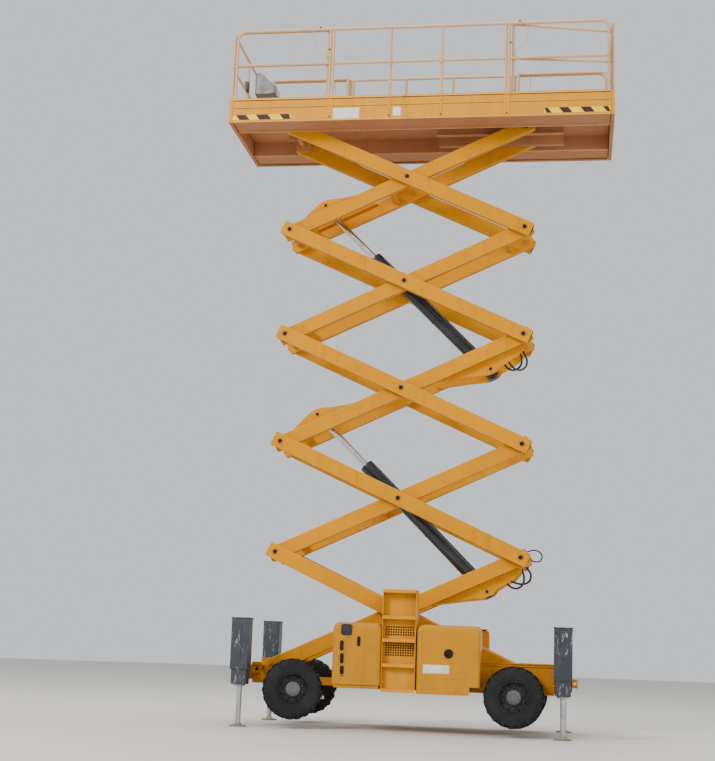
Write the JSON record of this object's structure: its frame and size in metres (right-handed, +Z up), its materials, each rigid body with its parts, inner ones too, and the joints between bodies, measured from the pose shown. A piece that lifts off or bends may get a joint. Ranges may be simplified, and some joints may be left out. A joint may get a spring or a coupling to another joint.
{
  "type": "rough-terrain scissor lift",
  "caption": "Self-propelled scissor lift with a guarded extending platform, scissor stack with lift cylinders, steered rough-terrain wheels, side pods and levelling jacks.",
  "frame": {"origin": "on the ground under the middle of the platform, between the four jacks", "axes": "+Z up, +X towards the unsteered axle, +Y away from the ladder side"},
  "size_m": [5.543, 2.4168, 9.965],
  "materials": {
    "machine_yellow": "satin orange-yellow enamel",
    "platform_buff": "faded orange-yellow enamel",
    "rail_buff": "faded enamel tube",
    "jack_black": "scuffed blue-black enamel",
    "cylinder_black": "gloss black enamel",
    "rod_chrome": "polished hard chrome",
    "pin_steel": "bare turned steel",
    "axle_grey": "painted cast housing",
    "tyre_rubber": "dusty tread rubber",
    "hose_rubber": "black reinforced hose",
    "rim_dark": "dark grey enamel",
    "cover_grey": "soft grey cover over the control box"
  },
  "bodies": {
    "chassis": {"chassis_frame": "machine_yellow", "base_pins": "pin_steel", "jack_housings": "jack_black", "axles": "axle_grey", "steering_cylinder": "cylinder_black", "pod_frames": "machine_yellow", "engine_block": "axle_grey", "fluid_tanks": "cylinder_black", "ladder_column": "machine_yellow", "far_locker": "machine_yellow"},
    "inner_pair_1": {"inner_arms_1": "machine_yellow", "lower_hose_1": "hose_rubber", "lower_hose_2": "hose_rubber", "end_hose": "hose_rubber"},
    "outer_pair_1": {"outer_arms_1": "machine_yellow", "chassis_rollers": "pin_steel"},
    "inner_pair_2": {"inner_arms_2": "machine_yellow"},
    "outer_pair_2": {"outer_arms_2": "machine_yellow"},
    "inner_pair_3": {"inner_arms_3": "machine_yellow", "upper_hose_1": "hose_rubber", "upper_hose_2": "hose_rubber"},
    "outer_pair_3": {"outer_arms_3": "machine_yellow"},
    "inner_pair_4": {"inner_arms_4": "machine_yellow"},
    "outer_pair_4": {"outer_arms_4": "machine_yellow"},
    "inner_pair_5": {"inner_arms_5": "machine_yellow", "platform_rollers": "pin_steel"},
    "outer_pair_5": {"outer_arms_5": "machine_yellow"},
    "platform": {"platform_frame": "platform_buff", "platform_deck": "platform_buff", "guardrails": "rail_buff"},
    "lower_barrel": {"lower_cylinder_barrel": "cylinder_black"},
    "lower_rod": {"lower_cylinder_rod": "rod_chrome"},
    "upper_barrel": {"upper_cylinder_barrel": "cylinder_black"},
    "upper_rod": {"upper_cylinder_rod": "rod_chrome"},
    "front_extension": {"extension_deck_front": "platform_buff", "extension_rails_front": "rail_buff", "control_box": "cover_grey"},
    "rear_extension": {"extension_deck_rear": "platform_buff", "extension_rails_rear": "rail_buff"},
    "entry_bar": {"entry_bar": "rail_buff"},
    "leg_front_left": {"jack_leg_front_left": "rod_chrome"},
    "leg_front_right": {"jack_leg_front_right": "rod_chrome"},
    "leg_rear_left": {"jack_leg_rear_left": "rod_chrome"},
    "leg_rear_right": {"jack_leg_rear_right": "rod_chrome"},
    "knuckle_left": {"knuckle_left": "axle_grey"},
    "knuckle_right": {"knuckle_right": "axle_grey"},
    "steering_rod": {"steering_rod": "rod_chrome"},
    "wheel_front_left": {"tyre_front_left": "tyre_rubber", "rim_front_left": "rim_dark"},
    "wheel_front_right": {"tyre_front_right": "tyre_rubber", "rim_front_right": "rim_dark"},
    "wheel_rear_left": {"tyre_rear_left": "tyre_rubber", "rim_rear_left": "rim_dark"},
    "wheel_rear_right": {"tyre_rear_right": "tyre_rubber", "rim_rear_right": "rim_dark"},
    "cowl_front_left": {"cowl_front_left": "machine_yellow"},
    "cowl_rear_left": {"cowl_rear_left": "machine_yellow"},
    "cowl_front_right": {"cowl_front_right": "machine_yellow"},
    "cowl_rear_right": {"cowl_rear_right": "machine_yellow"}
  },
  "joints": [
    {"name": "scissor_lift", "type": "hinge", "parent": "chassis", "child": "inner_pair_1", "pos_m": [-1.89, 0, 0.8], "axis": [0, -1, 0], "range_deg": [-20.9, 29.4]},
    {"name": "cross_1", "type": "hinge", "parent": "inner_pair_1", "child": "outer_pair_1", "pos_m": [-0.1855, 0, 1.58095], "axis": [0, -1, 0], "range_deg": [-58.85, 41.85]},
    {"name": "elbow_1", "type": "hinge", "parent": "outer_pair_1", "child": "inner_pair_2", "pos_m": [-1.89, 0, 2.3619], "axis": [0, -1, 0], "range_deg": [-41.85, 58.85]},
    {"name": "cross_2", "type": "hinge", "parent": "inner_pair_2", "child": "outer_pair_2", "pos_m": [-0.1855, 0, 3.14285], "axis": [0, -1, 0], "range_deg": [-58.85, 41.85]},
    {"name": "elbow_2", "type": "hinge", "parent": "outer_pair_2", "child": "inner_pair_3", "pos_m": [-1.89, 0, 3.9238], "axis": [0, -1, 0], "range_deg": [-41.85, 58.85]},
    {"name": "cross_3", "type": "hinge", "parent": "inner_pair_3", "child": "outer_pair_3", "pos_m": [-0.1855, 0, 4.70475], "axis": [0, -1, 0], "range_deg": [-58.85, 41.85]},
    {"name": "elbow_3", "type": "hinge", "parent": "outer_pair_3", "child": "inner_pair_4", "pos_m": [-1.89, 0, 5.4857], "axis": [0, -1, 0], "range_deg": [-41.85, 58.85]},
    {"name": "cross_4", "type": "hinge", "parent": "inner_pair_4", "child": "outer_pair_4", "pos_m": [-0.1855, 0, 6.26665], "axis": [0, -1, 0], "range_deg": [-58.85, 41.85]},
    {"name": "elbow_4", "type": "hinge", "parent": "outer_pair_4", "child": "inner_pair_5", "pos_m": [-1.89, 0, 7.0476], "axis": [0, -1, 0], "range_deg": [-41.85, 58.85]},
    {"name": "cross_5", "type": "hinge", "parent": "inner_pair_5", "child": "outer_pair_5", "pos_m": [-0.1855, 0, 7.82855], "axis": [0, -1, 0], "range_deg": [-58.85, 41.85]},
    {"name": "platform_level", "type": "hinge", "parent": "outer_pair_5", "child": "platform", "pos_m": [-1.89, 0, 8.6095], "axis": [0, -1, 0], "range_deg": [-20.95, 29.45]},
    {"name": "lower_cylinder_swing", "type": "hinge", "parent": "inner_pair_1", "child": "lower_barrel", "pos_m": [1.05681, 0, 1.89715], "axis": [0, -1, 0], "range_deg": [-52.97, 37.67]},
    {"name": "lower_cylinder_stroke", "type": "slide", "parent": "lower_barrel", "child": "lower_rod", "axis": [-0.7091, 0, 0.7051], "range_m": [-0.8297, 1.1669]},
    {"name": "upper_cylinder_swing", "type": "hinge", "parent": "inner_pair_5", "child": "upper_rod", "pos_m": [-1.40795, 0, 7.47195], "axis": [0, -1, 0], "range_deg": [-52.97, 37.67]},
    {"name": "upper_cylinder_stroke", "type": "slide", "parent": "upper_rod", "child": "upper_barrel", "axis": [0.7091, 0, -0.7051], "range_m": [-0.8297, 1.1669]},
    {"name": "front_deck_slide", "type": "slide", "parent": "platform", "child": "front_extension", "axis": [-1, 0, 0], "range_m": [0, 0.93]},
    {"name": "rear_deck_slide", "type": "slide", "parent": "platform", "child": "rear_extension", "axis": [1, 0, 0], "range_m": [0, 0.93]},
    {"name": "entry_bar_lift", "type": "slide", "parent": "platform", "child": "entry_bar", "axis": [0, 0, 1], "range_m": [0, 0.42]},
    {"name": "jack_front_left", "type": "slide", "parent": "chassis", "child": "leg_front_left", "axis": [0, 0, -1], "range_m": [-0.48, 0.12]},
    {"name": "jack_front_right", "type": "slide", "parent": "chassis", "child": "leg_front_right", "axis": [0, 0, -1], "range_m": [-0.48, 0.12]},
    {"name": "jack_rear_left", "type": "slide", "parent": "chassis", "child": "leg_rear_left", "axis": [0, 0, -1], "range_m": [-0.48, 0.12]},
    {"name": "jack_rear_right", "type": "slide", "parent": "chassis", "child": "leg_rear_right", "axis": [0, 0, -1], "range_m": [-0.48, 0.12]},
    {"name": "steer_left", "type": "hinge", "parent": "chassis", "child": "knuckle_left", "pos_m": [-1.535, -0.76, 0.512], "axis": [0, 0, 1], "range_deg": [-45, 11]},
    {"name": "steer_right", "type": "hinge", "parent": "chassis", "child": "knuckle_right", "pos_m": [-1.535, 0.76, 0.512], "axis": [0, 0, 1], "range_deg": [-45, 11]},
    {"name": "steering_stroke", "type": "slide", "parent": "chassis", "child": "steering_rod", "axis": [0, 1, 0], "range_m": [-0.1285, 0.0318]},
    {"name": "spin_front_left", "type": "hinge", "parent": "knuckle_left", "child": "wheel_front_left", "pos_m": [-1.47068, -0.97039, 0.512], "axis": [0.2924, -0.9563, 0], "continuous": true},
    {"name": "spin_front_right", "type": "hinge", "parent": "knuckle_right", "child": "wheel_front_right", "pos_m": [-1.59932, 0.97039, 0.512], "axis": [-0.2924, 0.9563, 0], "continuous": true},
    {"name": "spin_rear_left", "type": "hinge", "parent": "chassis", "child": "wheel_rear_left", "pos_m": [1.4735, -0.98, 0.512], "axis": [0, -1, 0], "continuous": true},
    {"name": "spin_rear_right", "type": "hinge", "parent": "chassis", "child": "wheel_rear_right", "pos_m": [1.4735, 0.98, 0.512], "axis": [0, 1, 0], "continuous": true},
    {"name": "open_front_left", "type": "hinge", "parent": "chassis", "child": "cowl_front_left", "pos_m": [0, -0.77, 1.403], "axis": [-1, 0, 0], "range_deg": [0, 70]},
    {"name": "open_rear_left", "type": "hinge", "parent": "chassis", "child": "cowl_rear_left", "pos_m": [0, -0.77, 1.403], "axis": [-1, 0, 0], "range_deg": [0, 70]},
    {"name": "open_front_right", "type": "hinge", "parent": "chassis", "child": "cowl_front_right", "pos_m": [0, 0.77, 1.403], "axis": [1, 0, 0], "range_deg": [0, 70]},
    {"name": "open_rear_right", "type": "hinge", "parent": "chassis", "child": "cowl_rear_right", "pos_m": [0, 0.77, 1.403], "axis": [1, 0, 0], "range_deg": [0, 70]}
  ],
  "couplings": [
    {"joint": "cross_1", "follows": "scissor_lift", "ratio": -2},
    {"joint": "elbow_1", "follows": "scissor_lift", "ratio": 2},
    {"joint": "cross_2", "follows": "scissor_lift", "ratio": -2},
    {"joint": "elbow_2", "follows": "scissor_lift", "ratio": 2},
    {"joint": "cross_3", "follows": "scissor_lift", "ratio": -2},
    {"joint": "elbow_3", "follows": "scissor_lift", "ratio": 2},
    {"joint": "cross_4", "follows": "scissor_lift", "ratio": -2},
    {"joint": "elbow_4", "follows": "scissor_lift", "ratio": 2},
    {"joint": "cross_5", "follows": "scissor_lift", "ratio": -2},
    {"joint": "platform_level", "follows": "scissor_lift", "ratio": 1},
    {"joint": "lower_cylinder_swing", "follows": "scissor_lift", "ratio": -1.8},
    {"joint": "lower_cylinder_stroke", "follows": "scissor_lift", "m_per_rad": 2.2731},
    {"joint": "upper_cylinder_swing", "follows": "scissor_lift", "ratio": -1.8},
    {"joint": "upper_cylinder_stroke", "follows": "scissor_lift", "m_per_rad": 2.2731},
    {"joint": "steer_right", "follows": "steer_left", "ratio": 1},
    {"joint": "steering_stroke", "follows": "steer_left", "m_per_rad": 0.163}
  ]
}
